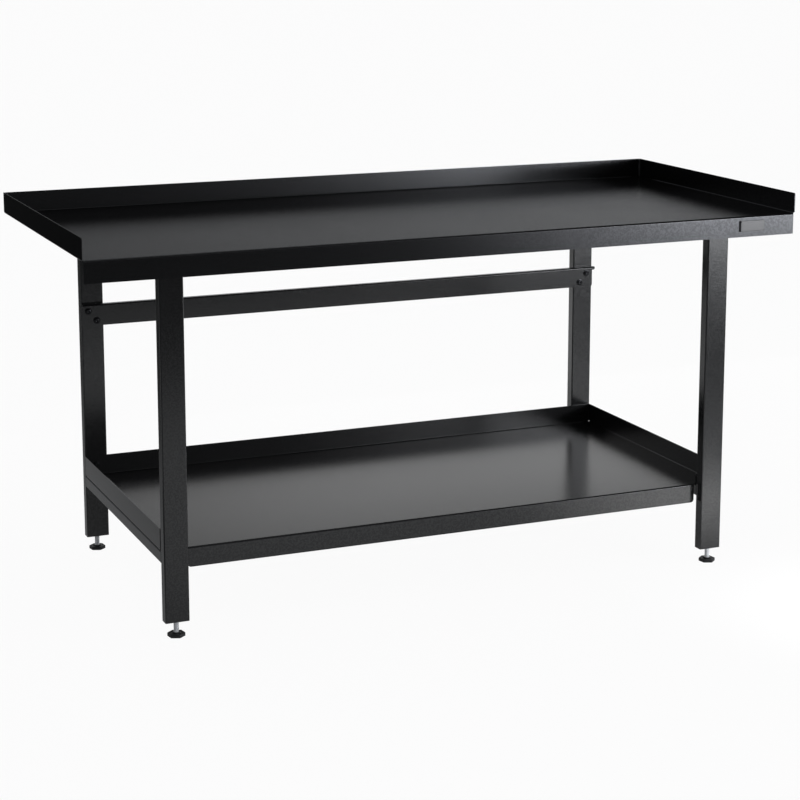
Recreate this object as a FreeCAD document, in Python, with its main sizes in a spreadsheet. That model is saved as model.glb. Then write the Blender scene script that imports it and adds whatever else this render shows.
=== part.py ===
# A steel workshop bench: a folded worktop tray with three upstands, two welded end
# frames, a rear crossbar, a folded lower shelf and four levelling feet.
# Millimetres, +Z up, front towards -Y, origin on the floor under the middle.
import FreeCAD
import Part
import Sketcher
import os

SIZES = {
    # Worktop, one folded sheet with its working surface at worktop_height
    "worktop_width": 1800,
    "worktop_depth": 774,
    "worktop_height": 881,
    "worktop_sheet": 2,
    "worktop_bend": 2,
    "upstand_height": 50,
    "upstand_corner": 5,
    "apron_height": 51,
    # Rectangular tube of the legs and rails
    "tube_width": 57,
    "tube_depth": 28,
    "tube_wall": 2,
    "tube_corner": 3,
    # End frames
    "end_overhang": 175,
    "leg_setback": 22.5,
    "leg_lift": 36,
    # Rear crossbar, a folded strip with a forward flange and a short lip
    "bar_base": 588,
    "bar_height": 57,
    "bar_flange": 18,
    "bar_lip": 8,
    "bar_sheet": 2,
    "bar_bend": 2,
    "bar_corner": 5,
    "bar_screw_inset": 13,
    "bar_screw_pitch": 25,
    "bar_screw_offset": 10.5,
    # Lower shelf, one folded sheet with its floor at shelf_height
    "shelf_height": 200,
    "shelf_sheet": 2,
    "shelf_bend": 2,
    "shelf_wall": 50,
    "shelf_lip": 47,
    "shelf_lip_corner": 8,
    "shelf_lip_gap": 6,
    "shelf_tab": 28,
    "shelf_tab_corner": 6,
    "shelf_tab_gap": 4,
    "shelf_screw_rise": 28,
    "tab_screw_rise": 15,
    # Hat-section stiffeners under the worktop and the shelf
    "hat_sheet": 1.5,
    "hat_bend": 1.5,
    "hat_crown": 36,
    "hat_flange": 18,
    "hat_drop": 25,
    "hat_end_gap": 2,
    "hat_offset": 190,
    # Screws and their threaded inserts
    "screw_shank": 7.8,
    "screw_length": 14,
    "screw_hole": 9,
    "button_head": 14,
    "button_rise": 4.4,
    "button_crown": 7,
    "flange_head": 18,
    "flange_thickness": 1.4,
    "socket_across": 5,
    "socket_depth": 2.6,
    "insert_barrel": 11,
    "insert_hole": 11.4,
    "insert_collar": 15,
    "insert_collar_length": 4,
    "insert_length": 13,
    "insert_bore": 8.4,
    # Weld studs, washers and nuts that hold the worktop
    "weld_stud": 8,
    "weld_stud_length": 42,
    "weld_stud_spacing": 420,
    "weld_stud_chamfer": 1,
    "weld_stud_hole": 9,
    "washer_diameter": 18,
    "washer_thickness": 1.6,
    "nut_across": 13,
    "nut_thickness": 6.8,
    "nut_bore": 8.4,
    # Levelling feet
    "plug_height": 20,
    "plug_clearance": 0.2,
    "foot_stud": 12,
    "foot_stud_length": 66,
    "foot_stud_chamfer": 1.2,
    "foot_stud_clearance": 0.3,
    "base_across": 36.5,
    "base_thickness": 8,
    "base_chamfer": 1.2,
    "base_hub": 20,
    "base_hub_rise": 2,
    "base_floor": 4,
    # How far every cut runs past the metal
    "overrun": 1,
}

# Turn of the hexagonal foot bases about their studs, in degrees
FOOT_TURN = -21

doc = FreeCAD.newDocument("Workbench")
sheet = doc.addObject("Spreadsheet::Sheet", "Sizes")
for row, (alias, number) in enumerate(SIZES.items(), start=1):
    sheet.set(f"A{row}", alias)
    sheet.set(f"B{row}", str(number))
    sheet.setAlias(f"B{row}", alias)
doc.recompute()


class Size:
    """A length that knows its number and the sheet expression that gives it."""

    def __init__(self, number, text):
        self.number = number
        self.text = text

    def __add__(self, other):
        return Size(self.number + amount(other), f"({self.text} + {wording(other)})")

    def __radd__(self, other):
        return Size(amount(other) + self.number, f"({wording(other)} + {self.text})")

    def __sub__(self, other):
        return Size(self.number - amount(other), f"({self.text} - {wording(other)})")

    def __rsub__(self, other):
        return Size(amount(other) - self.number, f"({wording(other)} - {self.text})")

    def __mul__(self, other):
        return Size(self.number * amount(other), f"({self.text} * {wording(other)})")

    def __rmul__(self, other):
        return self * other

    def __truediv__(self, other):
        return Size(self.number / amount(other), f"({self.text} / {wording(other)})")

    def __neg__(self):
        return Size(-self.number, f"(0 - {self.text})")


def amount(length):
    """The number of a length."""
    return length.number if isinstance(length, Size) else length


def wording(length):
    """The expression of a length."""
    return length.text if isinstance(length, Size) else str(length)


def cell(alias):
    """One driving dimension of the sheet."""
    return Size(float(sheet.get(alias)), f"Sizes.{alias}")


def bind(thing, prop, length):
    """Ties a property to the sheet."""
    thing.setExpression(prop, wording(length))


def new_body(label):
    """An empty body with its name."""
    body = doc.addObject("PartDesign::Body", label)
    body.Label = label
    return body


def new_sketch(body, name, role, offset=0):
    """A sketch on one of the body's own planes, moved along the plane's normal."""
    sketch = body.newObject("Sketcher::SketchObject", name)
    plane = next(feature for feature in body.Origin.OriginFeatures if feature.Role == role)
    sketch.AttachmentSupport = [(plane, "")]
    sketch.MapMode = "FlatFace"
    bind(sketch, "AttachmentOffset.Base.z", offset)
    return sketch


def fix_point(sketch, curve, end, across, up):
    """Holds a point of a curve at its two coordinates."""
    for kind, axis, length in (("DistanceX", -2, across), ("DistanceY", -1, up)):
        if amount(length) == 0:
            sketch.addConstraint(Sketcher.Constraint("PointOnObject", curve, end, axis))
            continue
        index = sketch.addConstraint(Sketcher.Constraint(kind, curve, end, amount(length)))
        bind(sketch, f"Constraints[{index}]", length)


def add_circle(sketch, across, up, diameter):
    """A circle held by its centre and diameter."""
    centre = FreeCAD.Vector(amount(across), amount(up), 0)
    curve = sketch.addGeometry(Part.Circle(centre, FreeCAD.Vector(0, 0, 1), amount(diameter) / 2))
    fix_point(sketch, curve, 3, across, up)
    index = sketch.addConstraint(Sketcher.Constraint("Diameter", curve, amount(diameter)))
    bind(sketch, f"Constraints[{index}]", diameter)


def towards(start, finish):
    """The sign of the way from one length to another."""
    gap = amount(finish) - amount(start)
    return (gap > 0) - (gap < 0)


def add_outline(sketch, corners):
    """A closed outline of (across, up, radius) corners; a corner between two edges along
    the axes is rounded where it has a radius."""
    runs = []
    for place, (across, up, radius) in enumerate(corners):
        before = corners[place - 1]
        after = corners[(place + 1) % len(corners)]
        if radius is None:
            runs.append(((across, up), (across, up), None))
            continue
        came = (towards(before[0], across), towards(before[1], up))
        leaves = (towards(across, after[0]), towards(up, after[1]))
        first = (across - radius * came[0], up - radius * came[1])
        last = (across + radius * leaves[0], up + radius * leaves[1])
        runs.append((first, last, (radius, came, leaves)))
    joints = []
    for place, (first, last, bend) in enumerate(runs):
        if bend:
            joints.append(add_bend(sketch, first, last, bend))
        following = runs[(place + 1) % len(runs)][0]
        joints.append(add_line(sketch, last, following))
    for place, (curve, start, end) in enumerate(joints):
        following = joints[(place + 1) % len(joints)]
        sketch.addConstraint(Sketcher.Constraint("Coincident", curve, end, following[0], following[1]))


def flat_point(point):
    """The vector of a pair of lengths."""
    return FreeCAD.Vector(amount(point[0]), amount(point[1]), 0)


def add_line(sketch, first, last):
    """A straight edge whose start is held; returns its number and its two ends."""
    curve = sketch.addGeometry(Part.LineSegment(flat_point(first), flat_point(last)))
    fix_point(sketch, curve, 1, *first)
    return curve, 1, 2


def add_bend(sketch, first, last, bend):
    """A rounded corner whose start and radius are held; returns its number and its two ends."""
    radius, came, leaves = bend
    start, finish = flat_point(first), flat_point(last)
    centre = start + FreeCAD.Vector(*leaves, 0) * amount(radius)
    corner = start + FreeCAD.Vector(*came, 0) * amount(radius)
    middle = centre + (corner - centre).normalize() * amount(radius)
    curve = sketch.addGeometry(Part.Arc(start, middle, finish))
    turns_left = came[0] * leaves[1] - came[1] * leaves[0] > 0
    start_end, finish_end = (1, 2) if turns_left else (2, 1)
    fix_point(sketch, curve, start_end, *first)
    index = sketch.addConstraint(Sketcher.Constraint("Radius", curve, amount(radius)))
    bind(sketch, f"Constraints[{index}]", radius)
    return curve, start_end, finish_end


def pad(body, name, sketch, length, symmetric=True):
    """Thickens a sketch, to both sides of its plane or along its normal."""
    feature = body.newObject("PartDesign::Pad", name)
    feature.Profile = sketch
    bind(feature, "Length", length)
    feature.SideType = "Symmetric" if symmetric else "One side"
    return feature


def pocket(body, name, sketch, length):
    """Cuts a sketch out of the body, to both sides of its plane."""
    feature = body.newObject("PartDesign::Pocket", name)
    feature.Profile = sketch
    bind(feature, "Length", length)
    feature.SideType = "Symmetric"
    return feature


def fold(body, name, role, corners, length, offset=0, symmetric=True):
    """Adds one folded strip of sheet from its section."""
    sketch = new_sketch(body, f"{name}Section", role, offset)
    add_outline(sketch, corners)
    return pad(body, name, sketch, length, symmetric)


def drill(body, name, role, offset, places, diameter, depth):
    """Cuts round holes through a wall whose middle lies at the offset."""
    sketch = new_sketch(body, f"{name}Circles", role, offset)
    for across, up in places:
        add_circle(sketch, across, up, diameter)
    return pocket(body, name, sketch, depth)


def turn(body, name, corners):
    """Turns an outline of (radius, height) about the body's Z axis."""
    sketch = new_sketch(body, f"{name}Section", "XZ_Plane")
    add_outline(sketch, corners)
    feature = body.newObject("PartDesign::Revolution", name)
    feature.Profile = sketch
    feature.ReferenceAxis = (sketch, ["V_Axis"])
    feature.Angle = 360
    return feature


def round_edges(body, base, name, radius, wanted):
    """Rounds the edges of a feature that pass a test on their middle point and direction."""
    doc.recompute()
    edges = []
    for number, edge in enumerate(base.Shape.Edges, start=1):
        if isinstance(edge.Curve, Part.Line) and wanted(edge.CenterOfMass, edge.Curve.Direction):
            edges.append(f"Edge{number}")
    feature = body.newObject("PartDesign::Fillet", name)
    feature.Base = (base, edges)
    bind(feature, "Radius", radius)
    return feature


def near(value, length):
    """Whether a coordinate is at a length, on either side of the middle."""
    return abs(abs(value) - abs(amount(length))) < amount(overrun) / 10


def place(body, across, along, up, turned=0):
    """Puts a body at its place."""
    body.Placement.Rotation = FreeCAD.Rotation(FreeCAD.Vector(0, 0, 1), turned)
    for axis, length in zip("xyz", (across, along, up)):
        bind(body, f"Placement.Base.{axis}", length)
    return body


def hexagon(across):
    """The corners of a hexagon of a given width across flats, with two corners on the X axis."""
    half_side = across / (2 * 3 ** 0.5)
    flat = across / 2
    return [
        (half_side * 2, 0, None),
        (half_side, flat, None),
        (-half_side, flat, None),
        (-half_side * 2, 0, None),
        (-half_side, -flat, None),
        (half_side, -flat, None),
    ]


overrun = cell("overrun")

# Places that several pieces share
half_width = cell("worktop_width") / 2
half_depth = cell("worktop_depth") / 2
underside = cell("worktop_height") - cell("worktop_sheet")
half_spread = half_width - cell("end_overhang")
leg_across = half_spread - cell("tube_width") / 2
leg_along = half_depth - cell("leg_setback") - cell("tube_depth") / 2
half_bay = leg_along - cell("tube_depth") / 2
shelf_under = cell("shelf_height") - cell("shelf_sheet")
bar_top = cell("bar_base") + cell("bar_height")
bar_low_screw = cell("bar_base") + cell("bar_screw_inset")
bar_high_screw = bar_low_screw + cell("bar_screw_pitch")
shelf_screw = cell("shelf_height") + cell("shelf_screw_rise")
tab_screw = cell("shelf_height") + cell("tab_screw_rise")

SIDES = {"left": -1, "right": 1}
ENDS = {"front": -1, "rear": 1}


def make_worktop():
    """The worktop: floor, front apron folded down, back and side upstands folded up."""
    body = new_body("worktop")
    sheet_in, bend = cell("worktop_sheet"), cell("worktop_bend")
    turn_out = sheet_in + bend
    top = cell("worktop_height")
    rim = top + cell("upstand_height")
    hem = top - cell("apron_height")
    fold(body, "ApronAndBack", "YZ_Plane", [
        (-half_depth, hem, None),
        (-half_depth, top, turn_out),
        (half_depth - sheet_in, top, bend),
        (half_depth - sheet_in, rim, None),
        (half_depth, rim, None),
        (half_depth, underside, turn_out),
        (sheet_in - half_depth, underside, bend),
        (sheet_in - half_depth, hem, None),
    ], (half_width - turn_out) * 2)
    fold(body, "SideFolds", "XZ_Plane", [
        (-half_width, rim, None),
        (-half_width, underside, turn_out),
        (half_width, underside, turn_out),
        (half_width, rim, None),
        (half_width - sheet_in, rim, None),
        (half_width - sheet_in, top, bend),
        (sheet_in - half_width, top, bend),
        (sheet_in - half_width, rim, None),
    ], (half_depth - turn_out) * 2)
    for side, sign in SIDES.items():
        fold(body, f"{side.title()}Upstand", "YZ_Plane", [
            (-half_depth, top + bend, None),
            (half_depth, top + bend, None),
            (half_depth, rim, None),
            (-half_depth, rim, cell("upstand_corner")),
        ], sheet_in, offset=(half_width - sheet_in / 2) * sign)
    return body


def tube_section(sketch, width, height):
    """The rounded outline of the tube and its bore."""
    wall, corner = cell("tube_wall"), cell("tube_corner")
    for inset in (0, wall):
        across, up = width / 2 - inset, height / 2 - inset
        radius = corner - inset
        add_outline(sketch, [
            (-across, -up, radius),
            (across, -up, radius),
            (across, up, radius),
            (-across, up, radius),
        ])


def make_leg(end, side):
    """One tube leg, with the holes for its threaded inserts in the face towards the bay."""
    body = new_body(f"{end}_{side}_leg")
    sketch = new_sketch(body, "TubeSection", "XY_Plane")
    tube_section(sketch, cell("tube_width"), cell("tube_depth"))
    pad(body, "Tube", sketch, underside - cell("leg_lift"), symmetric=False)
    inner_face = (cell("tube_depth") - cell("tube_wall")) / 2
    outward = SIDES[side]
    if end == "rear":
        offset = inner_face
        holes = [
            (cell("bar_screw_offset") * outward, bar_high_screw - cell("leg_lift")),
            (cell("bar_screw_offset") * -outward, bar_low_screw - cell("leg_lift")),
            (0, shelf_screw - cell("leg_lift")),
        ]
    else:
        offset = -inner_face
        holes = [(0, tab_screw - cell("leg_lift"))]
    drill(body, "InsertHoles", "XZ_Plane", offset, holes, cell("insert_hole"), cell("tube_wall") + overrun)
    return place(body, leg_across * outward, leg_along * ENDS[end], cell("leg_lift"))


def make_rail(label, side, top, stud_holes):
    """One tube rail between the front and rear leg, lying flat."""
    body = new_body(label)
    sketch = new_sketch(body, "TubeSection", "XZ_Plane")
    tube_section(sketch, cell("tube_width"), cell("tube_depth"))
    pad(body, "Tube", sketch, half_bay * 2)
    if stud_holes:
        spots = [(0, cell("weld_stud_spacing") / 2 * sign) for sign in ENDS.values()]
        drill(body, "StudHoles", "XY_Plane", 0, spots, cell("weld_stud_hole"), cell("tube_depth") + overrun)
    return place(body, leg_across * SIDES[side], 0, top - cell("tube_depth") / 2)


def make_crossbar():
    """The rear crossbar: a web on the rear legs, a forward top flange and a short lip."""
    body = new_body("rear_crossbar")
    sheet_in, bend = cell("bar_sheet"), cell("bar_bend")
    turn_out = sheet_in + bend
    front = half_bay - cell("bar_flange")
    lip_end = bar_top - cell("bar_lip")
    strip = fold(body, "Strip", "YZ_Plane", [
        (half_bay, cell("bar_base"), None),
        (half_bay, bar_top, turn_out),
        (front, bar_top, turn_out),
        (front, lip_end, None),
        (front + sheet_in, lip_end, None),
        (front + sheet_in, bar_top - sheet_in, bend),
        (half_bay - sheet_in, bar_top - sheet_in, bend),
        (half_bay - sheet_in, cell("bar_base"), None),
    ], half_spread * 2)
    round_edges(body, strip, "EndCorners", cell("bar_corner"), lambda middle, way: (
        abs(way.y) > 0.9 and near(middle.x, half_spread)
        and (near(middle.z, lip_end) or near(middle.z, cell("bar_base")))))
    holes = []
    for sign in SIDES.values():
        holes.append(((leg_across + cell("bar_screw_offset")) * sign, bar_high_screw))
        holes.append(((leg_across - cell("bar_screw_offset")) * sign, bar_low_screw))
    drill(body, "ScrewHoles", "XZ_Plane", sheet_in / 2 - half_bay, holes,
          cell("screw_hole"), sheet_in + overrun)
    return body


def make_shelf():
    """The lower shelf: three walls folded up, the side walls running on to the rear legs, a
    front lip folded down between the front legs and a short tab folded up behind each of them."""
    body = new_body("shelf")
    sheet_in, bend = cell("shelf_sheet"), cell("shelf_bend")
    turn_out = sheet_in + bend
    top = cell("shelf_height")
    rim = top + cell("shelf_wall")
    hem = top - cell("shelf_lip")
    tab_top = top + cell("shelf_tab")
    lip_end = half_spread - cell("tube_width") - cell("shelf_lip_gap")
    tab_start = lip_end + cell("shelf_tab_gap")
    tab_end = half_spread - turn_out
    fold(body, "SideFolds", "XZ_Plane", [
        (-half_spread, rim, None),
        (-half_spread, shelf_under, turn_out),
        (half_spread, shelf_under, turn_out),
        (half_spread, rim, None),
        (half_spread - sheet_in, rim, None),
        (half_spread - sheet_in, top, bend),
        (sheet_in - half_spread, top, bend),
        (sheet_in - half_spread, rim, None),
    ], (half_bay - turn_out) * 2)
    fold(body, "BackFold", "YZ_Plane", [
        (0, shelf_under, None),
        (half_bay, shelf_under, turn_out),
        (half_bay, rim, None),
        (half_bay - sheet_in, rim, None),
        (half_bay - sheet_in, top, bend),
        (0, top, None),
    ], tab_end * 2)
    for side, sign in SIDES.items():
        fold(body, f"{side.title()}Wall", "YZ_Plane", [
            (0, top + bend, None),
            (half_bay, top + bend, None),
            (half_bay, rim, None),
            (0, rim, None),
        ], sheet_in, offset=(half_spread - sheet_in / 2) * sign)
    lip = fold(body, "FrontLip", "YZ_Plane", [
        (0, shelf_under, None),
        (0, top, None),
        (-half_bay, top, turn_out),
        (-half_bay, hem, None),
        (sheet_in - half_bay, hem, None),
        (sheet_in - half_bay, shelf_under, bend),
    ], lip_end * 2)
    round_edges(body, lip, "LipCorners", cell("shelf_lip_corner"), lambda middle, way: (
        abs(way.y) > 0.9 and near(middle.x, lip_end) and near(middle.z, hem)))
    for side, sign in SIDES.items():
        tab = fold(body, f"{side.title()}Tab", "YZ_Plane", [
            (0, shelf_under, None),
            (0, top, None),
            (sheet_in - half_bay, top, bend),
            (sheet_in - half_bay, tab_top, None),
            (-half_bay, tab_top, None),
            (-half_bay, shelf_under, turn_out),
        ], tab_end - tab_start, offset=(tab_start + tab_end) / 2 * sign)
        round_edges(body, tab, f"{side.title()}TabCorners", cell("shelf_tab_corner"), lambda middle, way: (
            abs(way.y) > 0.9 and near(middle.z, tab_top) and middle.x * sign > 0
            and (near(middle.x, tab_start) or near(middle.x, tab_end))))
    wall_middle = half_bay - sheet_in / 2
    for name, offset, up in (("BackHoles", -wall_middle, shelf_screw), ("TabHoles", wall_middle, tab_screw)):
        holes = [(leg_across * sign, up) for sign in SIDES.values()]
        drill(body, name, "XZ_Plane", offset, holes, cell("screw_hole"), sheet_in + overrun)
    return body


def make_stiffener(label, along, top):
    """One hat-section stiffener, its flanges against the sheet above it."""
    body = new_body(label)
    sheet_in, bend = cell("hat_sheet"), cell("hat_bend")
    turn_out = sheet_in + bend
    crown = cell("hat_crown") / 2
    brim = crown + cell("hat_flange")
    drop = -cell("hat_drop")
    length = (half_spread - cell("tube_width") - cell("hat_end_gap")) * 2
    fold(body, "Hat", "YZ_Plane", [
        (-brim, 0, None),
        (sheet_in - crown, 0, turn_out),
        (sheet_in - crown, drop + sheet_in, bend),
        (crown - sheet_in, drop + sheet_in, bend),
        (crown - sheet_in, 0, turn_out),
        (brim, 0, None),
        (brim, -sheet_in, None),
        (crown, -sheet_in, bend),
        (crown, drop, turn_out),
        (-crown, drop, turn_out),
        (-crown, -sheet_in, bend),
        (-brim, -sheet_in, None),
    ], length)
    return place(body, 0, along, top)


def make_screw(label, flanged):
    """A button-head screw with a hex socket; its seat is at zero and its shank points down."""
    body = new_body(label)
    shank = cell("screw_shank") / 2
    head = cell("button_head") / 2
    crown = cell("button_crown") / 2
    rise = cell("button_rise")
    seat = []
    if flanged:
        brim, thickness = cell("flange_head") / 2, cell("flange_thickness")
        seat = [(brim, 0, None), (brim, thickness, None), (head, thickness, None)]
    else:
        seat = [(head, 0, None)]
    turn(body, "ShankAndHead", [
        (0, -cell("screw_length"), None),
        (shank, -cell("screw_length"), None),
        (shank, 0, None),
        *seat,
        (head, rise / 2, None),
        (crown, rise, None),
        (0, rise, None),
    ])
    socket = new_sketch(body, "SocketOutline", "XY_Plane", rise)
    add_outline(socket, hexagon(cell("socket_across")))
    pocket(body, "Socket", socket, cell("socket_depth") * 2)
    return body


def make_insert(label):
    """A threaded insert, its open face at zero and its barrel pointing down through the wall."""
    body = new_body(label)
    bore, barrel = cell("insert_bore") / 2, cell("insert_barrel") / 2
    collar = cell("insert_collar") / 2
    wall = cell("tube_wall")
    turn(body, "Barrel", [
        (bore, 0, None),
        (barrel, 0, None),
        (barrel, -wall, None),
        (collar, -wall, None),
        (collar, -wall - cell("insert_collar_length"), None),
        (barrel, -wall - cell("insert_collar_length"), None),
        (barrel, -cell("insert_length"), None),
        (bore, -cell("insert_length"), None),
    ])
    return body


def make_weld_stud(label):
    """A weld stud under the worktop, its welded end at zero."""
    body = new_body(label)
    radius, chamfer = cell("weld_stud") / 2, cell("weld_stud_chamfer")
    length = cell("weld_stud_length")
    turn(body, "Stud", [
        (0, 0, None),
        (radius, 0, None),
        (radius, chamfer - length, None),
        (radius - chamfer, -length, None),
        (0, -length, None),
    ])
    return body


def make_washer(label):
    """A flat washer, its upper face at zero."""
    body = new_body(label)
    sketch = new_sketch(body, "Ring", "XY_Plane", -cell("washer_thickness") / 2)
    add_circle(sketch, 0, 0, cell("washer_diameter"))
    add_circle(sketch, 0, 0, cell("nut_bore"))
    pad(body, "Washer", sketch, cell("washer_thickness"))
    return body


def make_nut(label):
    """A hexagon nut, its upper face at zero."""
    body = new_body(label)
    sketch = new_sketch(body, "Hexagon", "XY_Plane", -cell("nut_thickness") / 2)
    add_outline(sketch, hexagon(cell("nut_across")))
    add_circle(sketch, 0, 0, cell("nut_bore"))
    pad(body, "Nut", sketch, cell("nut_thickness"))
    return body


def make_plug(end, side):
    """The threaded plug in the bottom of a leg."""
    body = new_body(f"{end}_{side}_leg_plug")
    inset = cell("tube_wall") + cell("plug_clearance")
    across, up = cell("tube_width") / 2 - inset, cell("tube_depth") / 2 - inset
    radius = cell("tube_corner") - cell("tube_wall")
    sketch = new_sketch(body, "PlugSection", "XY_Plane")
    add_outline(sketch, [
        (-across, -up, radius),
        (across, -up, radius),
        (across, up, radius),
        (-across, up, radius),
    ])
    add_circle(sketch, 0, 0, cell("foot_stud") + cell("foot_stud_clearance") * 2)
    pad(body, "Plug", sketch, cell("plug_height"), symmetric=False)
    return place(body, leg_across * SIDES[side], leg_along * ENDS[end], cell("leg_lift"))


def make_foot_stud(end, side):
    """The stud of a levelling foot, standing in its base."""
    body = new_body(f"{end}_{side}_foot_stud")
    radius, chamfer = cell("foot_stud") / 2, cell("foot_stud_chamfer")
    length = cell("foot_stud_length")
    turn(body, "Stud", [
        (0, 0, None),
        (radius, 0, None),
        (radius, length - chamfer, None),
        (radius - chamfer, length, None),
        (0, length, None),
    ])
    return place(body, leg_across * SIDES[side], leg_along * ENDS[end], cell("base_floor"))


def make_foot_base(end, side):
    """The hexagonal base of a levelling foot, with a hub round the stud's socket."""
    body = new_body(f"{end}_{side}_foot_base")
    block = new_sketch(body, "Hexagon", "XY_Plane")
    add_outline(block, hexagon(cell("base_across")))
    hexagonal = pad(body, "Block", block, cell("base_thickness"), symmetric=False)
    doc.recompute()
    rim = amount(cell("base_thickness"))
    edges = [f"Edge{number}" for number, edge in enumerate(hexagonal.Shape.Edges, start=1)
             if abs(edge.CenterOfMass.z - rim) < amount(overrun) / 10]
    bevel = body.newObject("PartDesign::Chamfer", "TopBevel")
    bevel.Base = (hexagonal, edges)
    bind(bevel, "Size", cell("base_chamfer"))
    hub = new_sketch(body, "HubCircle", "XY_Plane", cell("base_floor"))
    add_circle(hub, 0, 0, cell("base_hub"))
    hub_height = cell("base_thickness") + cell("base_hub_rise") - cell("base_floor")
    pad(body, "Hub", hub, hub_height, symmetric=False)
    bore = cell("foot_stud") + cell("foot_stud_clearance") * 2
    drill(body, "StudSocket", "XY_Plane", cell("base_floor") + hub_height,
          [(0, 0)], bore, hub_height * 2)
    return place(body, leg_across * SIDES[side], leg_along * ENDS[end], 0, turned=FOOT_TURN)


def facing(across, along, up, way):
    """Where a fastener sits whose outer end looks along the given direction."""
    spot = FreeCAD.Vector(amount(across), amount(along), amount(up))
    return FreeCAD.Placement(spot, FreeCAD.Rotation(FreeCAD.Vector(0, 0, 1), FreeCAD.Vector(*way)))


def make_group(label, pattern, spots):
    """Copies of one fastener as separate solids of one piece."""
    doc.recompute()
    solids = []
    for spot in spots:
        solid = pattern.Shape.copy()
        solid.Placement = spot.multiply(solid.Placement)
        solids.append(solid)
    group = doc.addObject("Part::Feature", label)
    group.Label = label
    group.Shape = Part.makeCompound(solids)
    return group


def make_fasteners():
    """The screws, inserts, weld studs, washers and nuts, each kind as one group."""
    forward, backward, upward = (0, -1, 0), (0, 1, 0), (0, 0, 1)
    bar_face = half_bay - cell("bar_sheet")
    shelf_face = half_bay - cell("shelf_sheet")
    bar_heads, bar_sockets, shelf_heads, shelf_sockets, hangers = [], [], [], [], []
    for sign in SIDES.values():
        for offset, up in ((cell("bar_screw_offset"), bar_high_screw), (-cell("bar_screw_offset"), bar_low_screw)):
            across = (leg_across + offset) * sign
            bar_heads.append(facing(across, bar_face, up, forward))
            bar_sockets.append(facing(across, half_bay, up, forward))
        across = leg_across * sign
        shelf_heads.append(facing(across, shelf_face, shelf_screw, forward))
        shelf_sockets.append(facing(across, half_bay, shelf_screw, forward))
        shelf_heads.append(facing(across, -shelf_face, tab_screw, backward))
        shelf_sockets.append(facing(across, -half_bay, tab_screw, backward))
        hangers += [(across, cell("weld_stud_spacing") / 2 * end) for end in ENDS.values()]
    rail_under = underside - cell("tube_depth")
    washer_under = rail_under - cell("washer_thickness")
    insert = make_insert("insert_pattern")
    return [
        make_group("crossbar_screws", make_screw("flange_screw_pattern", True), bar_heads),
        make_group("crossbar_inserts", insert, bar_sockets),
        make_group("shelf_screws", make_screw("button_screw_pattern", False), shelf_heads),
        make_group("shelf_inserts", insert, shelf_sockets),
        make_group("worktop_studs", make_weld_stud("weld_stud_pattern"),
                   [facing(*spot, underside, upward) for spot in hangers]),
        make_group("worktop_washers", make_washer("washer_pattern"),
                   [facing(*spot, rail_under, upward) for spot in hangers]),
        make_group("worktop_nuts", make_nut("nut_pattern"),
                   [facing(*spot, washer_under, upward) for spot in hangers]),
    ]


def make_all():
    """Every piece of the bench."""
    pieces = [make_worktop(), make_crossbar(), make_shelf()]
    pieces.append(make_stiffener("front_stiffener", -cell("hat_offset"), underside))
    pieces.append(make_stiffener("rear_stiffener", cell("hat_offset"), underside))
    pieces.append(make_stiffener("shelf_stiffener", 0, shelf_under))
    for side in SIDES:
        pieces.append(make_rail(f"{side}_top_rail", side, underside, True))
        pieces.append(make_rail(f"{side}_bottom_rail", side, shelf_under, False))
        for end in ENDS:
            pieces.append(make_leg(end, side))
            pieces.append(make_plug(end, side))
            pieces.append(make_foot_stud(end, side))
            pieces.append(make_foot_base(end, side))
    return pieces + make_fasteners()


def check(pieces):
    """Stops if anything in the document failed or a piece has no valid shape."""
    doc.recompute()
    failed = [thing.Label for thing in doc.Objects if {"Invalid", "Error"} & set(thing.State)]
    failed += [piece.Label for piece in pieces if piece.Shape.isNull() or not piece.Shape.isValid()]
    if failed:
        raise RuntimeError("failed: " + ", ".join(failed))


def export(pieces):
    """Writes each piece to its own file."""
    os.makedirs("parts", exist_ok=True)
    for piece in pieces:
        piece.Shape.exportStep(f"parts/{piece.Label}.step")
        print(f"{piece.Label}: {len(piece.Shape.Solids)} solids, {piece.Shape.Volume:.0f} mm3")


bench = make_all()
check(bench)
export(bench)
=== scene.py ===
"""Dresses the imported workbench: coats, threads, screw heads, weld beads, a blank plate, a studio."""

from __future__ import annotations

import functools
import logging
import math
from collections.abc import Callable, Iterator, Mapping, Sequence
from dataclasses import dataclass
from enum import Enum, IntEnum
from typing import ClassVar, Union

import bmesh
import bpy
from mathutils import Matrix, Vector

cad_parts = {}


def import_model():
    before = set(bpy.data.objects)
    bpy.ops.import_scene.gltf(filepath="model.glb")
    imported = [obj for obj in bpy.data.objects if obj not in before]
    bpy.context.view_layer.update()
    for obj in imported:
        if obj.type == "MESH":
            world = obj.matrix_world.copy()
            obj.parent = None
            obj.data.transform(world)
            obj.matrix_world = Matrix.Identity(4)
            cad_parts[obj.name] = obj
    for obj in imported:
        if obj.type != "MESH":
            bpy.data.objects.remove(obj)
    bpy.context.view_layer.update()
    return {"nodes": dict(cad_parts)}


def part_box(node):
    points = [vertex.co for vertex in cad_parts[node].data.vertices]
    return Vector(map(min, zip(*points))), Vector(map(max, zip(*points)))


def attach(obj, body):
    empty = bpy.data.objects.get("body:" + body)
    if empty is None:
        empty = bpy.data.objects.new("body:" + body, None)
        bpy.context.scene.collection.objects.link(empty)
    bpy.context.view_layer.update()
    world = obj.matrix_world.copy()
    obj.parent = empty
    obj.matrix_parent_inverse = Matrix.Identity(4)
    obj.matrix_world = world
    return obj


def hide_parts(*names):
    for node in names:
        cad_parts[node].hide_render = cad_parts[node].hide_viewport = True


LOG = logging.getLogger("workbench")
FULL_TURN = 2 * math.pi
SHARP_EDGE = math.radians(32)
NOISE_MIDDLE = 0.5
SHEET = 0.002
HEAD_RADIUS = 0.007
FLANGE_RADIUS = 0.009
NOTHING: Mapping = {}

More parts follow.
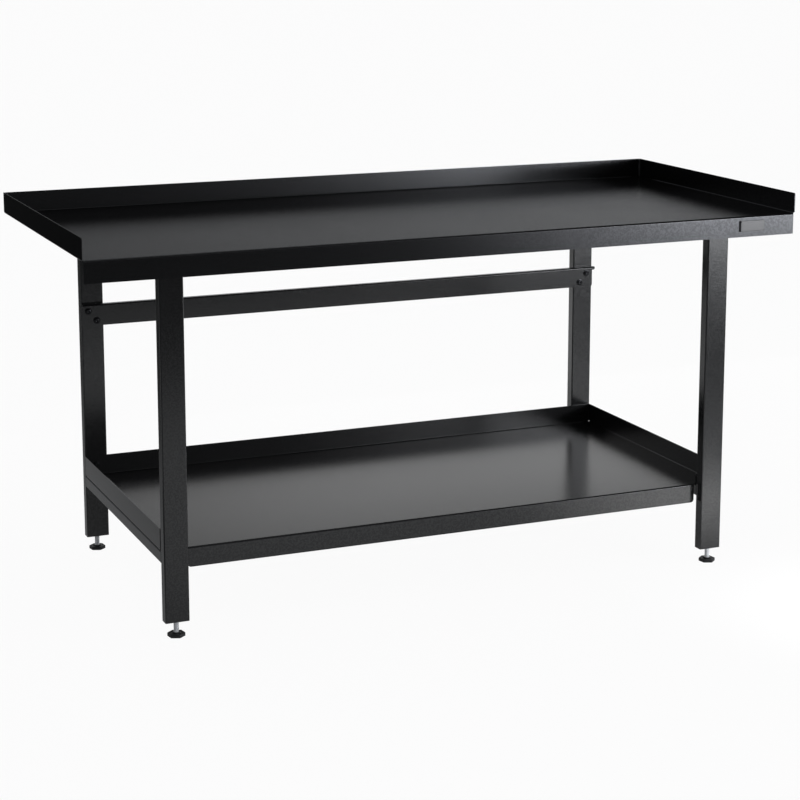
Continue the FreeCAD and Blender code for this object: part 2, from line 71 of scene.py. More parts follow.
Triple = tuple[float, float, float]
Colour = Triple
Span = tuple[float, float]
Loop = list[bmesh.types.BMVert]
Feed = Union["Signal", float, Sequence[float]]
Outline = Callable[[float], float]

WHITE: Colour = (1.0, 1.0, 1.0)
KEY_LIGHT: Colour = (0.975, 0.995, 1.035)


class Direction(Enum):
    """A way along one of the bench's axes, by its sign."""

    @property
    def word(self) -> str:
        """The word used in node names."""
        return self.name.lower()


class Side(Direction):
    """The two ends of the bench, by the sign of their X."""

    LEFT = -1
    RIGHT = 1


class End(Direction):
    """The front and rear of the bench, by the sign of their Y."""

    FRONT = -1
    REAR = 1


Seat = tuple[Vector, End]


class Slot(Enum):
    """The record's material slots."""

    POWDER_COAT = "powder_coat"
    BLACK_SCREW = "black_screw"
    ZINC_HARDWARE = "zinc_hardware"
    PLUG_PLASTIC = "plug_plastic"
    FOOT_STUD = "foot_stud"
    FOOT_PLASTIC = "foot_plastic"


class MixSocket(IntEnum):
    """Where a colour Mix node has its sockets."""

    FACTOR = 0
    RESULT = 2
    FIRST = 6
    SECOND = 7


class Signal:
    """An output socket that can be used in sums as a number can."""

    def __init__(self, graph: Graph, socket: bpy.types.NodeSocket | None) -> None:
        """Keeps the socket, which a node without outputs leaves out, and the graph it belongs to."""
        self.graph = graph
        self.socket = socket

    def _sum(self, operation: str, first: Feed, second: Feed) -> Signal:
        """One Math node on two values."""
        return self.graph.node("ShaderNodeMath", {"operation": operation}, {0: first, 1: second})

    def __add__(self, other: Feed) -> Signal:
        """This plus another value."""
        return self._sum("ADD", self, other)

    def __radd__(self, other: Feed) -> Signal:
        """Another value plus this."""
        return self._sum("ADD", other, self)

    def __sub__(self, other: Feed) -> Signal:
        """This less another value."""
        return self._sum("SUBTRACT", self, other)

    def __rsub__(self, other: Feed) -> Signal:
        """Another value less this."""
        return self._sum("SUBTRACT", other, self)

    def __mul__(self, other: Feed) -> Signal:
        """This times another value."""
        return self._sum("MULTIPLY", self, other)

    def __rmul__(self, other: Feed) -> Signal:
        """Another value times this."""
        return self._sum("MULTIPLY", other, self)

    def __or__(self, other: Feed) -> Signal:
        """The larger of this and another value."""
        return self._sum("MAXIMUM", self, other)

    def __ror__(self, other: Feed) -> Signal:
        """The larger of another value and this."""
        return self._sum("MAXIMUM", other, self)


class Graph:
    """The node tree of a material or of the world."""

    def __init__(self, tree: bpy.types.NodeTree) -> None:
        """Takes over a node tree and empties it."""
        self.tree = tree
        self.tree.nodes.clear()

    def node(
        self,
        kind: str,
        settings: Mapping[str, object] = NOTHING,
        feeds: Mapping[str | int, Feed] = NOTHING,
        output: str | int = 0,
    ) -> Signal:
        """Adds one node.

        Args:
            kind: The node's type.
            settings: Its own settings, set before its sockets.
            feeds: Values or links for its sockets, by name or number.
            output: The output that is returned.

        Returns:
            The chosen output.
        """
        made = self.tree.nodes.new(kind)
        for name, value in settings.items():
            setattr(made, name, value)
        for name, feed in feeds.items():
            if isinstance(feed, Signal):
                self.tree.links.new(feed.socket, made.inputs[name])
            else:
                made.inputs[name].default_value = feed
        return Signal(self, made.outputs[output] if made.outputs else None)

    def place(self) -> Signal:
        """The place on the object, in metres, at rest."""
        return self.node("ShaderNodeTexCoord", output="Object")

    def part(self, vector: Signal, axis: str) -> Signal:
        """One of a vector's three parts, by its axis letter."""
        return self.node("ShaderNodeSeparateXYZ", {}, {"Vector": vector}, axis)

    def ray(self, *kinds: str) -> Signal:
        """1 for a ray of any of these kinds, as the Light Path node names them, and 0 for others."""
        tests = [self.node("ShaderNodeLightPath", output=f"Is {kind} Ray") for kind in kinds]
        return functools.reduce(Signal.__or__, tests)

    def stretched(self, vector: Signal, stretch: Triple) -> Signal:
        """A place with each axis scaled by its own amount."""
        return self.node("ShaderNodeVectorMath", {"operation": "MULTIPLY"}, {0: vector, 1: stretch})

    def noise(self, vector: Signal, size: float, detail: float = 2.0) -> Signal:
        """Soft noise between 0 and 1.

        Args:
            vector: The place to read it at.
            size: How far apart its lumps are, in metres.
            detail: How many finer layers it has.

        Returns:
            The noise value.
        """
        return self.node("ShaderNodeTexNoise", {"noise_dimensions": "3D"},
                         {"Vector": vector, "Scale": 1 / size, "Detail": detail})

    def ramp(
        self, value: Signal, low: float, high: float, start: float = 0.0, finish: float = 1.0
    ) -> Signal:
        """A smooth step.

        Args:
            value: What is measured.
            low: Where the step begins.
            high: Where it ends.
            start: The result below the step.
            finish: The result above it.

        Returns:
            The stepped value.
        """
        return self.node("ShaderNodeMapRange", {"interpolation_type": "SMOOTHSTEP"}, {
            "Value": value, "From Min": low, "From Max": high, "To Min": start, "To Max": finish})

    def tint(self, factor: Signal, first: Feed, second: Feed) -> Signal:
        """A colour between two others.

        Args:
            factor: 0 for the first, 1 for the second.
            first: The first colour.
            second: The second colour.

        Returns:
            The mixed colour.
        """
        return self.node("ShaderNodeMix", {"data_type": "RGBA"}, {
            MixSocket.FACTOR: factor,
            MixSocket.FIRST: opaque(first),
            MixSocket.SECOND: opaque(second),
        }, MixSocket.RESULT)

    def blend(self, factor: Signal, first: Signal, second: Signal) -> Signal:
        """A shader between two others, by a factor from 0 to 1."""
        return self.node("ShaderNodeMixShader", {}, {0: factor, 1: first, 2: second})

    def bump(self, height: Signal, depth: float, strength: float) -> Signal:
        """A bumped normal.

        Args:
            height: The relief, between 0 and 1.
            depth: How deep a relief of 1 is, in metres.
            strength: How much of it shows.

        Returns:
            The normal.
        """
        return self.node("ShaderNodeBump", {}, {"Strength": strength, "Distance": depth, "Height": height})

    def principled(self, feeds: Mapping[str, Feed]) -> None:
        """Ends a material's graph in a Principled surface with these values on its sockets."""
        self.surface(self.node("ShaderNodeBsdfPrincipled", {}, feeds))

    def surface(self, shader: Signal, kind: str = "ShaderNodeOutputMaterial") -> None:
        """Ends the graph in its output node.

        Args:
            shader: The shader that is shown.
            kind: The type of the output node.
        """
        self.node(kind, {}, {"Surface": shader})


def opaque(colour: Feed) -> Feed:
    """A colour of three values as one of four, for a socket that has four."""
    return colour if isinstance(colour, Signal) else (*colour, 1.0)


@dataclass(frozen=True)
class Finish:
    """What a kind of piece is made of. The subclasses say how it looks."""

    name: str
    slot: Slot

    def material(self) -> bpy.types.Material:
        """The finish as a material, made once."""
        label = f"finish_{self.name}"
        made = bpy.data.materials.get(label)
        if made is None:
            made = bpy.data.materials.new(label)
            made.use_nodes = True
            self.paint(Graph(made.node_tree))
        return made

    def paint(self, graph: Graph) -> None:
        """Fills the material's empty graph."""
        raise NotImplementedError


@dataclass(frozen=True)
class PowderCoat(Finish):
    """Near-black satin powder coat with a grained skin and faint flecks, duller above a height."""

    name: str = "powder_coat"
    slot: Slot = Slot.POWDER_COAT
    colour: Colour = (0.0040, 0.0041, 0.0044)
    cloud_colour: Colour = (0.0050, 0.0051, 0.0054)
    fleck_colour: Colour = (0.0075, 0.0077, 0.0082)
    ior: float = 1.71
    metallic: float = 0.0
    fleck_metal: float = 0.22
    low_angle_tint: Colour = WHITE
    roughness: float = 0.21
    roughness_drift: float = 0.03
    matt_above: Span = (1.0, 1.1)
    matt_roughness: float = 0.0
    fleck_shine: float = 0.03
    grain_size: float = 0.0016
    peel_size: float = 0.0048
    cloud_size: float = 0.16
    fleck_size: float = 0.0036
    fleck_edge: Span = (0.38, 0.62)
    grain_share: float = 0.55
    grain_depth: float = 0.00010
    grain_strength: float = 0.80

    def paint(self, graph: Graph) -> None:
        """Fills the graph: clouds and flecks in the colour, grain and peel in the relief."""
        place = graph.place()
        grain = graph.noise(place, self.grain_size, detail=1.0)
        peel = graph.noise(place, self.peel_size, detail=1.0)
        cloud = graph.noise(place, self.cloud_size, detail=3.0)
        fleck = graph.ramp(graph.noise(place, self.fleck_size, detail=0.0), *self.fleck_edge)
        base = graph.tint(cloud, self.colour, self.cloud_colour)
        relief = grain * self.grain_share + peel * (1 - self.grain_share)
        drift = (cloud - NOISE_MIDDLE) * self.roughness_drift
        matt = graph.ramp(graph.part(place, "Z"), *self.matt_above, 0.0, self.matt_roughness)
        graph.principled({
            "Base Color": graph.tint(fleck, base, self.fleck_colour),
            "IOR": self.ior,
            "Metallic": self.metallic + fleck * self.fleck_metal,
            "Specular Tint": opaque(self.low_angle_tint),
            "Roughness": self.roughness + drift + matt - fleck * self.fleck_shine,
            "Normal": graph.bump(relief, self.grain_depth, self.grain_strength),
        })


@dataclass(frozen=True)
class ZincPlate(Finish):
    """Bright zinc plating, a little streaked along the thread."""

    name: str = "zinc"
    slot: Slot = Slot.ZINC_HARDWARE
    colour: Colour = (0.60, 0.61, 0.63)
    dull_colour: Colour = (0.42, 0.43, 0.45)
    metallic: float = 1.0
    roughness: float = 0.26
    roughness_drift: float = 0.16
    mottle_size: float = 0.0035
    mottle_edge: Span = (0.35, 0.75)
    streak: Triple = (1.0, 1.0, 0.35)

    def paint(self, graph: Graph) -> None:
        """Fills the graph: a mottled metal."""
        place = graph.stretched(graph.place(), self.streak)
        mottle = graph.noise(place, self.mottle_size, detail=3.0)
        graph.principled({
            "Base Color": graph.tint(graph.ramp(mottle, *self.mottle_edge), self.colour, self.dull_colour),
            "Metallic": self.metallic,
            "Roughness": self.roughness + (mottle - NOISE_MIDDLE) * self.roughness_drift,
        })


@dataclass(frozen=True)
class BlackOxide(Finish):
    """Blackened steel of the screws, slightly oily."""

    name: str = "black_oxide"
    slot: Slot = Slot.BLACK_SCREW
    colour: Colour = (0.018, 0.0185, 0.020)
    worn_colour: Colour = (0.036, 0.037, 0.040)
    metallic: float = 0.75
    roughness: float = 0.17
    roughness_drift: float = 0.10
    mottle_size: float = 0.0025
    mottle_edge: Span = (0.45, 0.75)

    def paint(self, graph: Graph) -> None:
        """Fills the graph: a dark mottled metal."""
        mottle = graph.noise(graph.place(), self.mottle_size, detail=3.0)
        graph.principled({
            "Base Color": graph.tint(graph.ramp(mottle, *self.mottle_edge), self.colour, self.worn_colour),
            "Metallic": self.metallic,
            "Roughness": self.roughness + (mottle - NOISE_MIDDLE) * self.roughness_drift,
        })


@dataclass(frozen=True)
class MouldedPlastic(Finish):
    """Black moulded plastic with a fine matt grain."""

    name: str = "moulded_plastic"
    slot: Slot = Slot.FOOT_PLASTIC
    colour: Colour = (0.013, 0.013, 0.014)
    scuff_colour: Colour = (0.030, 0.030, 0.031)
    ior: float = 1.46
    roughness: float = 0.46
    roughness_drift: float = 0.12
    grain_size: float = 0.0006
    scuff_size: float = 0.006
    scuff_edge: Span = (0.55, 0.80)
    grain_depth: float = 0.00004
    grain_strength: float = 0.5

    def paint(self, graph: Graph) -> None:
        """Fills the graph: faint scuffs in the colour, a grain in the relief."""
        place = graph.place()
        grain = graph.noise(place, self.grain_size, detail=2.0)
        scuff = graph.noise(place, self.scuff_size, detail=4.0)
        graph.principled({
            "Base Color": graph.tint(graph.ramp(scuff, *self.scuff_edge), self.colour, self.scuff_colour),
            "IOR": self.ior,
            "Roughness": self.roughness + (scuff - NOISE_MIDDLE) * self.roughness_drift,
            "Normal": graph.bump(grain, self.grain_depth, self.grain_strength),
        })


@dataclass(frozen=True)
class BrushedBlack(Finish):
    """Black anodised metal of the blank plate, brushed along its length."""

    name: str = "brushed_black"
    slot: Slot = Slot.POWDER_COAT
    colour: Colour = (0.0050, 0.0051, 0.0054)
    line_colour: Colour = (0.0095, 0.0096, 0.0100)
    ior: float = 1.65
    roughness: float = 0.23
    roughness_drift: float = 0.10
    line_size: float = 0.0008
    brush: Triple = (0.03, 1.0, 1.0)

    def paint(self, graph: Graph) -> None:
        """Fills the graph: fine lines in colour and roughness."""
        place = graph.stretched(graph.place(), self.brush)
        line = graph.noise(place, self.line_size, detail=2.0)
        graph.principled({
            "Base Color": graph.tint(line, self.colour, self.line_colour),
            "IOR": self.ior,
            "Roughness": self.roughness + (line - NOISE_MIDDLE) * self.roughness_drift,
        })


def circle(radius: float) -> Outline:
    """The outline of a circle, as its distance from the axis at an angle."""
    return lambda angle: radius


def hexagon(across: float, corner: float) -> Outline:
    """The outline of a hexagon with two corners on the first axis.

    Args:
        across: Its width across the flats.
        corner: The radius that its corners are turned down to.

    Returns:
        The distance from the axis at an angle.
    """
    sector = FULL_TURN / 6

    def reach(angle: float) -> float:
        """The distance from the axis at an angle."""
        from_flat = (angle % sector) - sector / 2
        return min(across / 2 / math.cos(from_flat), corner)

    return reach


def join(mesh: bmesh.types.BMesh, near: Loop, far: Loop) -> None:
    """Joins two rings of as many points by a band of faces."""
    for place, corner in enumerate(near):
        after = (place + 1) % len(near)
        mesh.faces.new((corner, near[after], far[after], far[place]))


def skin(mesh: bmesh.types.BMesh, loops: Sequence[Loop]) -> None:
    """Joins rings of points, in their order, into a closed form with a flat face at each end."""
    for near, far in zip(loops, loops[1:]):
        join(mesh, near, far)
    mesh.faces.new(list(reversed(loops[0])))
    mesh.faces.new(loops[-1])


def standing(low: Vector, high: Vector) -> Matrix:
    """The middle of the lower face of a box, as the place of a form that stands on it."""
    return Matrix.Translation(Vector(((low.x + high.x) / 2, (low.y + high.y) / 2, low.z)))


@dataclass(frozen=True)
class Ring:
    """One level of a turned or moulded form."""

    outline: Outline
    height: float


@dataclass(frozen=True)
class Form:
    """A closed form through rings about one axis.

    A form with a bore joins its last ring to its first; any other is closed by a point at each end.
    """

    rings: Sequence[Ring]
    segments: int
    bored: bool = False

    def add_to(self, mesh: bmesh.types.BMesh, place: Matrix) -> None:
        """Adds the form to a mesh.

        Args:
            mesh: The mesh that is filled.
            place: Where the form's axis goes.
        """
        angles = [FULL_TURN * step / self.segments for step in range(self.segments)]
        loops = []
        for ring in self.rings:
            loop = []
            for angle in angles:
                reach = ring.outline(angle)
                spot = Vector((reach * math.cos(angle), reach * math.sin(angle), ring.height))
                loop.append(mesh.verts.new(place @ spot))
            loops.append(loop)
        pairs = list(zip(loops, loops[1:]))
        if self.bored:
            pairs.append((loops[-1], loops[0]))
        for lower, upper in pairs:
            join(mesh, lower, upper)
        if not self.bored:
            self._close(mesh, loops[0], place @ Vector((0, 0, self.rings[0].height)), True)
            self._close(mesh, loops[-1], place @ Vector((0, 0, self.rings[-1].height)), False)

    def _close(self, mesh: bmesh.types.BMesh, loop: Loop, middle: Vector, lower: bool) -> None:
        """Closes the lower or upper end ring with a fan about its middle."""
        point = mesh.verts.new(middle)
        for step in range(self.segments):
            pair = (loop[step], loop[(step + 1) % self.segments])
            mesh.faces.new((point, *(reversed(pair) if lower else pair)))


@dataclass(frozen=True)
class ScrewThread:
    """A right-hand thread as rings whose radius rises and falls along a helix."""

    radius: float
    pitch: float
    depth: float
    flat_share: float = 0.2
    rings_per_pitch: int = 8

    def outline(self, height: float) -> Outline:
        """The thread's outline at a height.

        Args:
            height: The height along the axis.

        Returns:
            The distance from the axis at an angle.
        """
        def reach(angle: float) -> float:
            """The distance from the axis at an angle."""
            phase = (height / self.pitch - angle / FULL_TURN) % 1.0
            slope = abs(phase * 2 - 1)
            rise = (slope - self.flat_share) / (1 - self.flat_share * 2)
            return self.radius - self.depth * (1 - min(max(rise, 0.0), 1.0))

        return reach

    def rings(self, low: float, high: float, lead_in: float) -> list[Ring]:
        """The rings of a threaded length.

        Args:
            low: Where the thread begins.
            high: Where it ends, in a tapered lead-in.
            lead_in: The length of the lead-in.

        Returns:
            The rings from low to high.
        """
        count = math.ceil((high - low) / self.pitch * self.rings_per_pitch)
        made = []
        for step in range(count + 1):
            height = low + (high - low) * step / count
            cone = self.radius - self.depth * max(0.0, 1 - (high - height) / lead_in)
            made.append(Ring(self._within(self.outline(height), cone), height))
        return made

    @staticmethod
    def _within(outline: Outline, limit: float) -> Outline:
        """An outline that never reaches past a limit."""
        return lambda angle: min(outline(angle), limit)


@dataclass(frozen=True)
class WeldBead:
    """A rippled fillet weld along an inside corner."""

    leg: float = 0.0042
    ripple: float = 0.0026
    ripple_depth: float = 0.09
    bulge: float = 0.32
    end_share: float = 0.6
    arc_steps: int = 7
    steps_per_ripple: int = 4

    def add_to(
        self,
        mesh: bmesh.types.BMesh,
        start: Vector,
        finish: Vector,
        walls: tuple[Vector, Vector],
    ) -> None:
        """Adds the bead to a mesh.

        Args:
            mesh: The mesh that is filled.
            start: Where the bead begins, in the corner.
            finish: Where it ends.
            walls: The two directions that lead away from the corner along the metal.
        """
        run = finish - start
        count = math.ceil(run.length / self.ripple * self.steps_per_ripple)
        loops = []
        for step in range(count + 1):
            share = step / count
            wave = math.cos(FULL_TURN * step / self.steps_per_ripple)
            from_end = min(step, count - step) / self.steps_per_ripple
            taper = min(1.0, self.end_share + (1 - self.end_share) * from_end)
            leg = self.leg * taper * (1 + self.ripple_depth * wave)
            corner = start + run * share
            loops.append([mesh.verts.new(corner + offset) for offset in self._section(leg, walls)])
        skin(mesh, loops)

    def _section(self, leg: float, walls: tuple[Vector, Vector]) -> Iterator[Vector]:
        """The points of a section, from the corner round the crown.

        Args:
            leg: The section's size.
            walls: The two directions along the metal.

        Yields:
            Each point as an offset from the corner.
        """
        first, second = walls
        yield Vector((0, 0, 0))
        for step in range(self.arc_steps):
            share = step / (self.arc_steps - 1)
            crown = 1 + self.bulge * math.sin(math.pi * share)
            yield (first * (1 - share) + second * share) * leg * crown


class Workshop:
    """Makes pieces, gives them their finish and sends them to their bodies."""

    def __init__(self, nodes: Mapping[str, bpy.types.Object]) -> None:
        """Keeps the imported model's nodes, by name."""
        self.nodes = nodes

    def dress(self, node: str, finish: Finish) -> None:
        """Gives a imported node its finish.

        Args:
            node: The node's name.
            finish: What it is made of.
        """
        for place in self.nodes[node].material_slots:
            place.material = finish.material()
        LOG.info("%s dressed in %s", node, finish.name)

    def piece(
        self,
        name: str,
        mesh: bmesh.types.BMesh,
        finish: Finish,
        body: str,
        stands_for: Sequence[str] = (),
    ) -> None:
        """Turns a mesh into a piece of the bench.

        Args:
            name: The piece's name.
            mesh: Its shape, which is used up.
            finish: What it is made of.
            body: The body that it moves with.
            stands_for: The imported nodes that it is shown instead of.
        """
        bmesh.ops.recalc_face_normals(mesh, faces=mesh.faces)
        data = bpy.data.meshes.new(name)
        mesh.to_mesh(data)
        mesh.free()
        data.polygons.foreach_set("use_smooth", [True] * len(data.polygons))
        data.set_sharp_from_angle(angle=SHARP_EDGE)
        data.materials.append(finish.material())
        made = bpy.data.objects.new(name, data)
        bpy.context.scene.collection.objects.link(made)
        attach(made, body)
        if stands_for:
            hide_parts(*stands_for)
        LOG.info("%s made of %s, %d faces, rides on %s", name, finish.name, len(data.polygons), body)


@dataclass
class Sheetwork:
    """The folded sheets: worktop, shelf, crossbar and stiffeners, and the welds in the tray's corners."""

    workshop: Workshop
    coat: PowderCoat
    worktop_coat: PowderCoat
    weld_coat: PowderCoat
    sheet: float = SHEET
    upstand: float = 0.050
    weld_leg: float = 0.0036
    weld_root: float = 0.001
    weld_gap: float = 0.0015
    body: str = "bench"

    NODES: ClassVar[tuple[str, ...]] = (
        "shelf", "rear_crossbar", "front_stiffener", "rear_stiffener", "shelf_stiffener")

    def build(self) -> None:
        """Dresses the sheets and adds the corner welds."""
        for node in self.NODES:
            self.workshop.dress(node, self.coat)
        self.workshop.dress("worktop", self.worktop_coat)
        self.add_corner_welds()

    def add_corner_welds(self) -> None:
        """Adds the upright welds where the back upstand meets the two side upstands."""
        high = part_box("worktop")[1]
        bead = WeldBead(leg=self.weld_leg)
        for side in Side:
            across = (high.x - self.sheet) * side.value
            along = high.y - self.sheet
            start = Vector((across, along, high.z - self.upstand - self.weld_root))
            finish = Vector((across, along, high.z - self.weld_gap))
            mesh = bmesh.new()
            bead.add_to(mesh, start, finish, (Vector((-side.value, 0, 0)), Vector((0, -1, 0))))
            self.workshop.piece(f"{side.word}_corner_weld", mesh, self.weld_coat, self.body)


@dataclass
class EndFrame:
    """One welded end frame: two legs with their plugs, a top rail and a bottom rail."""

    workshop: Workshop
    coat: PowderCoat
    plug_plastic: MouldedPlastic
    side: Side
    corner_inset: float = 0.0035
    body: str = "bench"

    def build(self) -> None:
        """Dresses the tubes and plugs and adds the welds under the rails."""
        for rail in ("top", "bottom"):
            node = f"{self.side.word}_{rail}_rail"
            self.workshop.dress(node, self.coat)
            self.add_welds(node)
        for end in End:
            self.workshop.dress(f"{end.word}_{self.side.word}_leg", self.coat)
            self.workshop.dress(f"{end.word}_{self.side.word}_leg_plug", self.plug_plastic)

    def add_welds(self, rail: str) -> None:
        """Adds the welds between the underside of a rail and its two legs.

        Args:
            rail: The rail's node.
        """
        low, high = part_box(rail)
        bead = WeldBead()
        mesh = bmesh.new()
        for end in End:
            along = high.y if end is End.REAR else low.y
            start = Vector((low.x + self.corner_inset, along, low.z))
            finish = Vector((high.x - self.corner_inset, along, low.z))
            bead.add_to(mesh, start, finish, (Vector((0, 0, -1)), Vector((0, -end.value, 0))))
        self.workshop.piece(f"{rail}_welds", mesh, self.coat, self.body)


@dataclass
class Screws:
    """One set of button-head screws with hexagon sockets."""

    workshop: Workshop
    steel: BlackOxide
    node: str
    head_radius: float = HEAD_RADIUS
    flange_radius: float | None = None
    flange_thickness: float = 0.0014
    brow_share: float = 0.3
    rise: float = 0.0044
    crown_radius: float = 0.0036
    socket_across: float = 0.005
    socket_depth: float = 0.0020
    socket_bevel: float = 0.0003
    socket_dip: float = 0.00026
    dip_share: float = 1 / 6
    shank_radius: float = 0.0039
    shank_length: float = 0.014
    dome_steps: int = 6
    segments: int = 48
    body: str = "bench"

    def build(self, seats: Sequence[Seat]) -> None:
        """Makes the screws in place of their node.

        Args:
            seats: Where each head sits, and the end of the bench that its head looks away from.
        """
        mesh = bmesh.new()
        form = Form(self._rings(), self.segments)
        for seat, end in seats:
            turned = Vector((0, -end.value, 0)).to_track_quat("Z", "Y").to_matrix().to_4x4()
            form.add_to(mesh, Matrix.Translation(seat) @ turned)
        self.workshop.piece(f"{self.node}_turned", mesh, self.steel, self.body, (self.node,))

    def _rings(self) -> list[Ring]:
        """The rings from the shank's tip, over the head and down into the socket.

        Returns:
            The rings.
        """
        shank = circle(self.shank_radius)
        rings = [Ring(shank, -self.shank_length), Ring(shank, 0.0)]
        foot = 0.0
        if self.flange_radius:
            brow = self.flange_thickness * self.brow_share
            rings += [
                Ring(circle(self.flange_radius), 0.0),
                Ring(circle(self.flange_radius), self.flange_thickness - brow),
                Ring(circle(self.flange_radius - brow), self.flange_thickness),
                Ring(circle(self.head_radius), self.flange_thickness + brow / 2),
            ]
            foot = self.flange_thickness + brow
        for step in range(self.dome_steps + 1):
            share = step / self.dome_steps
            swell = math.sqrt(1 - share * share)
            radius = self.crown_radius + (self.head_radius - self.crown_radius) * swell
            rings.append(Ring(circle(radius), foot + (self.rise - foot) * share))
        mouth = hexagon(self.socket_across, self.socket_across)
        lip = circle(self.socket_across / math.sqrt(3) + self.socket_bevel)
        floor = self.rise - self.socket_depth
        rings += [Ring(lip, self.rise), Ring(mouth, self.rise - self.socket_bevel), Ring(mouth, floor)]
        rings.append(Ring(circle(self.socket_across * self.dip_share), floor - self.socket_dip))
        return rings


@dataclass
class Hangers:
    """The threaded weld studs, washers and nuts that hold the worktop to the top rails."""

    workshop: Workshop
    zinc: ZincPlate
    thread: ScrewThread = ScrewThread(radius=0.004, pitch=0.00125, depth=0.00072)
    threaded_length: float = 0.018
    lead_in: float = 0.001
    nut_across: float = 0.013
    nut_corner: float = 0.0072
    nut_bevel: float = 0.0009
    nut_bore: float = 0.0042
    face_share: float = 0.96
    spacing: float = 0.420
    segments: int = 36
    body: str = "bench"

    def build(self) -> None:
        """Dresses the washers and makes the studs and nuts in place of their nodes."""
        self.workshop.dress("worktop_washers", self.zinc)
        self._make("worktop_studs", Form(self._stud_rings(), self.segments))
        self._make("worktop_nuts", Form(self._nut_rings(), self.segments, bored=True))

    def _make(self, node: str, form: Form) -> None:
        """Makes four copies of a form in place of a node.

        Args:
            node: The node.
            form: One copy, standing at the node's upper face and pointing down.
        """
        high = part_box(node)[1]
        rail_low, rail_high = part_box("right_top_rail")
        across = (rail_low.x + rail_high.x) / 2
        mesh = bmesh.new()
        upside_down = Matrix.Rotation(math.pi, 4, "X")
        for side in Side:
            for end in End:
                spot = Vector((across * side.value, self.spacing / 2 * end.value, high.z))
                form.add_to(mesh, Matrix.Translation(spot) @ upside_down)
        self.workshop.piece(f"{node}_cut", mesh, self.zinc, self.body, (node,))

    def _stud_rings(self) -> list[Ring]:
        """The rings of a stud, from its welded end to its tip."""
        low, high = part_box("worktop_studs")
        length = high.z - low.z
        shank = [Ring(circle(self.thread.radius), 0.0),
                 Ring(circle(self.thread.radius), length - self.threaded_length - self.lead_in)]
        return shank + self.thread.rings(length - self.threaded_length, length, self.lead_in)

    def _nut_rings(self) -> list[Ring]:
        """The rings of a nut with turned-down corners, round its bore."""
        low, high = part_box("worktop_nuts")
        thickness = high.z - low.z
        body = hexagon(self.nut_across, self.nut_corner)
        face = circle(self.nut_across / 2 * self.face_share)
        bore = circle(self.nut_bore)
        return [
            Ring(bore, 0.0),
            Ring(face, 0.0),
            Ring(body, self.nut_bevel),
            Ring(body, thickness - self.nut_bevel),
            Ring(face, thickness),
            Ring(bore, thickness),
        ]


@dataclass
class LevellingFoot:
    """One levelling foot: a threaded stud standing in a hexagonal moulded base."""

    workshop: Workshop
    zinc: ZincPlate
    plastic: MouldedPlastic
    end: End
    side: Side
    pitch: float = 0.00175
    thread_depth: float = 0.00107
    lead_in: float = 0.0016
    across: float = 0.0365
    turn_degrees: float = -21.0
    corner_turned_off: float = 0.0005
    thickness: float = 0.008
    bevel: float = 0.0012
    round_share: float = 0.3
    under_bevel: float = 0.0006
    rim: float = 0.0034
    dish: float = 0.0006
    hub_radius: float = 0.010
    hub_bevel: float = 0.0007
    bore_radius: float = 0.0063
    socket_floor: float = 0.004
    stud_segments: int = 36
    base_segments: int = 72

    @property
    def name(self) -> str:
        """The words that its nodes and bodies begin with."""
        return f"{self.end.word}_{self.side.word}"

    def build(self) -> None:
        """Makes the stud and the base in place of their nodes."""
        self.make_stud()
        self.make_base()

    def make_stud(self) -> None:
        """Makes the threaded stud."""
        node = f"{self.name}_foot_stud"
        low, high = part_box(node)
        thread = ScrewThread((high.x - low.x) / 2, self.pitch, self.thread_depth)
        form = Form(thread.rings(0.0, high.z - low.z, self.lead_in), self.stud_segments)
        mesh = bmesh.new()
        form.add_to(mesh, standing(low, high))
        self.workshop.piece(f"{node}_threaded", mesh, self.zinc, f"{self.name}_stud", (node,))

    def make_base(self) -> None:
        """Makes the moulded base."""
        node = f"{self.name}_foot_base"
        low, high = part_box(node)
        turned = Matrix.Rotation(math.radians(self.turn_degrees), 4, "Z")
        form = Form(self._base_rings(high.z - low.z), self.base_segments)
        mesh = bmesh.new()
        form.add_to(mesh, standing(low, high) @ turned)
        self.workshop.piece(f"{node}_moulded", mesh, self.plastic, f"{self.name}_base", (node,))

    def _outline(self, inset: float) -> Outline:
        """The base's outline, drawn in by an inset."""
        across = self.across - inset * 2
        return hexagon(across, across / math.sqrt(3) - self.corner_turned_off)

    def _base_rings(self, height: float) -> list[Ring]:
        """The rings of the base, from under it, over the rim and hub, and down into the stud's socket.

        Args:
            height: The height of the hub.

        Returns:
            The rings.
        """
        dish = self.thickness - self.dish
        rounding = self.bevel * self.round_share
        return [
            Ring(self._outline(self.under_bevel), 0.0),
            Ring(self._outline(0.0), self.under_bevel),
            Ring(self._outline(0.0), self.thickness - self.bevel),
            Ring(self._outline(rounding), self.thickness - rounding),
            Ring(self._outline(self.bevel), self.thickness),
            Ring(self._outline(self.rim), self.thickness),
            Ring(self._outline(self.rim + self.dish), dish),
            Ring(circle(self.hub_radius + self.dish), dish),
            Ring(circle(self.hub_radius), dish + self.dish),
            Ring(circle(self.hub_radius), height - self.hub_bevel),
            Ring(circle(self.hub_radius - self.hub_bevel), height),
            Ring(circle(self.bore_radius + self.hub_bevel / 2), height),
            Ring(circle(self.bore_radius), height - self.hub_bevel / 2),
            Ring(circle(self.bore_radius), self.socket_floor),
        ]


